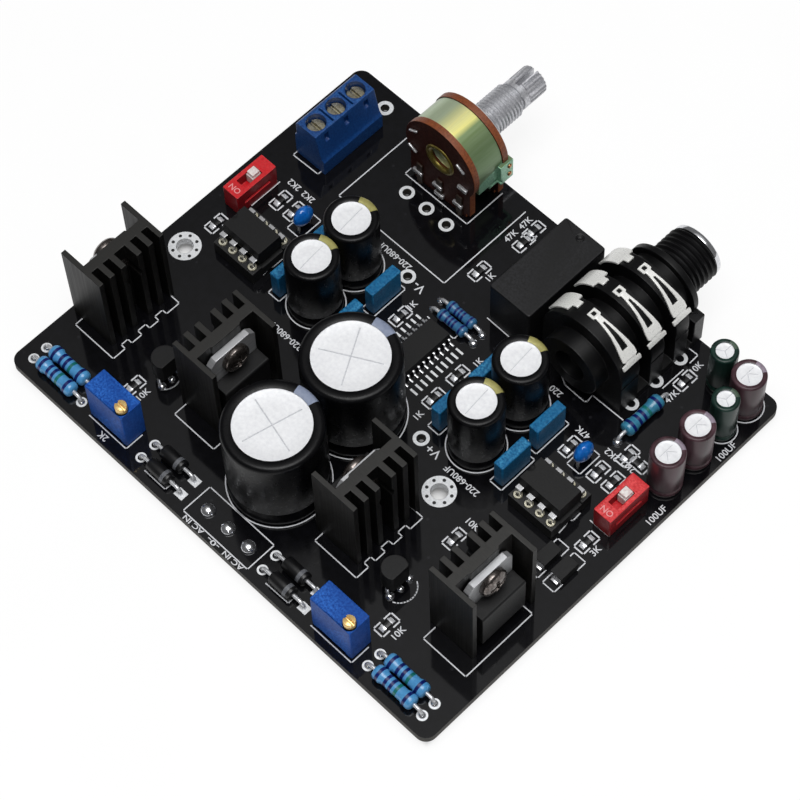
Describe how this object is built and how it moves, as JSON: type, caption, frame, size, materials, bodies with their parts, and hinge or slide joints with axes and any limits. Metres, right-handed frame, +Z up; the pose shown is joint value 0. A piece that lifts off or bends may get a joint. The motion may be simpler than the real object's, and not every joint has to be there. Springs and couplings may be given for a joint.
{
  "type": "audio amplifier board",
  "caption": "Headphone amplifier circuit board with a volume control, plug socket, relay, heatsinks, socketed amplifiers, trimmers, slide switches and a rising-clamp screw terminal.",
  "frame": {"origin": "centre of the left mounting hole at the board's underside", "axes": "+Z up out of the component side, +Y towards the edge with the volume shaft and the plug socket, +X along the power-supply edge from the screw-terminal side"},
  "size_m": [0.104, 0.1024, 0.024],
  "materials": {
    "board": "gloss",
    "solder": "satin",
    "tinned_wire": "satin",
    "terminal_blue": "satin",
    "plated_steel": "satin",
    "zinc_can": "passivated",
    "brown_laminate": "matte",
    "cast_metal": "satin",
    "relay_black": "matte",
    "jack_black": "satin",
    "chrome_ring": "bright",
    "spring_tin": "bright",
    "switch_red": "satin",
    "slider_white": "satin",
    "socket_black": "matte",
    "turned_contact": "bright",
    "chip_black": "matte",
    "anodised_black": "anodised",
    "tab_metal": "satin",
    "screw_metal": "bright",
    "sleeve_black": "gloss",
    "sleeve_brown": "gloss",
    "sleeve_green": "gloss",
    "film_blue": "satin",
    "dipped_blue": "gloss",
    "trimmer_blue": "satin",
    "trimmer_brass": "bright",
    "resistor_blue": "gloss"
  },
  "bodies": {
    "board": {"circuit_board": "board", "solder_joints": "solder", "component_leads": "tinned_wire", "volume_terminals": "tinned_wire", "terminal_housing": "terminal_blue", "terminal_contacts": "plated_steel", "volume_can": "zinc_can", "volume_rear_wafer": "brown_laminate", "volume_front_wafer": "brown_laminate", "volume_bushing": "cast_metal", "relay_case": "relay_black", "jack_housing": "jack_black", "jack_ring": "chrome_ring", "jack_springs": "spring_tin", "jack_switch_contacts": "spring_tin", "left_switch_body": "switch_red", "right_switch_body": "switch_red", "left_socket": "socket_black", "right_socket": "socket_black", "socket_contacts": "turned_contact", "left_opamp": "chip_black", "right_opamp": "chip_black", "amplifier_chip": "chip_black", "surface_diodes": "chip_black", "chip_resistors": "chip_black", "voltage_regulators": "chip_black", "transistor_bodies": "chip_black", "rectifier_diodes": "chip_black", "heatsink_1": "anodised_black", "heatsink_2": "anodised_black", "heatsink_3": "anodised_black", "heatsink_4": "anodised_black", "transistor_tabs": "tab_metal", "transistor_screws": "screw_metal", "filter_capacitor_1": "sleeve_black", "filter_capacitor_2": "sleeve_black", "rail_capacitor_1": "sleeve_black", "rail_capacitor_2": "sleeve_black", "rail_capacitor_3": "sleeve_black", "rail_capacitor_4": "sleeve_black", "coupling_capacitors": "sleeve_brown", "bypass_capacitors": "sleeve_green", "film_capacitors": "film_blue", "ceramic_capacitors": "dipped_blue", "left_trimmer_body": "trimmer_blue", "right_trimmer_body": "trimmer_blue", "axial_resistors": "resistor_blue"},
    "volume_shaft": {"volume_shaft": "cast_metal"},
    "left_switch_slider": {"left_switch_slider": "slider_white"},
    "right_switch_slider": {"right_switch_slider": "slider_white"},
    "left_trimmer_screw": {"left_trimmer_screw": "trimmer_brass"},
    "right_trimmer_screw": {"right_trimmer_screw": "trimmer_brass"},
    "terminal_screw_1": {"terminal_screw_1": "plated_steel"},
    "terminal_screw_2": {"terminal_screw_2": "plated_steel"},
    "terminal_screw_3": {"terminal_screw_3": "plated_steel"},
    "terminal_clamp_1": {"terminal_clamp_1": "plated_steel"},
    "terminal_clamp_2": {"terminal_clamp_2": "plated_steel"},
    "terminal_clamp_3": {"terminal_clamp_3": "plated_steel"}
  },
  "joints": [
    {"name": "volume_turn", "type": "hinge", "parent": "board", "child": "volume_shaft", "pos_m": [0.0258, 0.0601, 0.0136], "axis": [0, 1, 0], "range_deg": [-150, 150]},
    {"name": "left_switch_slide", "type": "slide", "parent": "board", "child": "left_switch_slider", "axis": [0, -1, 0], "range_m": [0, 0.002]},
    {"name": "right_switch_slide", "type": "slide", "parent": "board", "child": "right_switch_slider", "axis": [0, -1, 0], "range_m": [0, 0.002]},
    {"name": "left_trimmer_turn", "type": "hinge", "parent": "board", "child": "left_trimmer_screw", "pos_m": [0.0215, -0.0337, 0.0116], "axis": [0, 0, 1], "continuous": true},
    {"name": "right_trimmer_turn", "type": "hinge", "parent": "board", "child": "right_trimmer_screw", "pos_m": [0.0781, -0.03455, 0.0116], "axis": [0, 0, 1], "continuous": true},
    {"name": "terminal_screw_turn_1", "type": "hinge", "parent": "board", "child": "terminal_screw_1", "pos_m": [0.003, 0.0309, 0.01], "axis": [0, 0, -1], "range_deg": [0, 1080]},
    {"name": "terminal_clamp_rise_1", "type": "slide", "parent": "board", "child": "terminal_clamp_1", "axis": [0, 0, 1], "range_m": [0, 0.0015]},
    {"name": "terminal_screw_turn_2", "type": "hinge", "parent": "board", "child": "terminal_screw_2", "pos_m": [0.003, 0.0359, 0.01], "axis": [0, 0, -1], "range_deg": [0, 1080]},
    {"name": "terminal_clamp_rise_2", "type": "slide", "parent": "board", "child": "terminal_clamp_2", "axis": [0, 0, 1], "range_m": [0, 0.0015]},
    {"name": "terminal_screw_turn_3", "type": "hinge", "parent": "board", "child": "terminal_screw_3", "pos_m": [0.003, 0.0409, 0.01], "axis": [0, 0, -1], "range_deg": [0, 1080]},
    {"name": "terminal_clamp_rise_3", "type": "slide", "parent": "board", "child": "terminal_clamp_3", "axis": [0, 0, 1], "range_m": [0, 0.0015]}
  ],
  "couplings": [
    {"joint": "terminal_screw_turn_1", "follows": "terminal_clamp_rise_1", "rad_per_m": 12566},
    {"joint": "terminal_screw_turn_2", "follows": "terminal_clamp_rise_2", "rad_per_m": 12566},
    {"joint": "terminal_screw_turn_3", "follows": "terminal_clamp_rise_3", "rad_per_m": 12566}
  ]
}
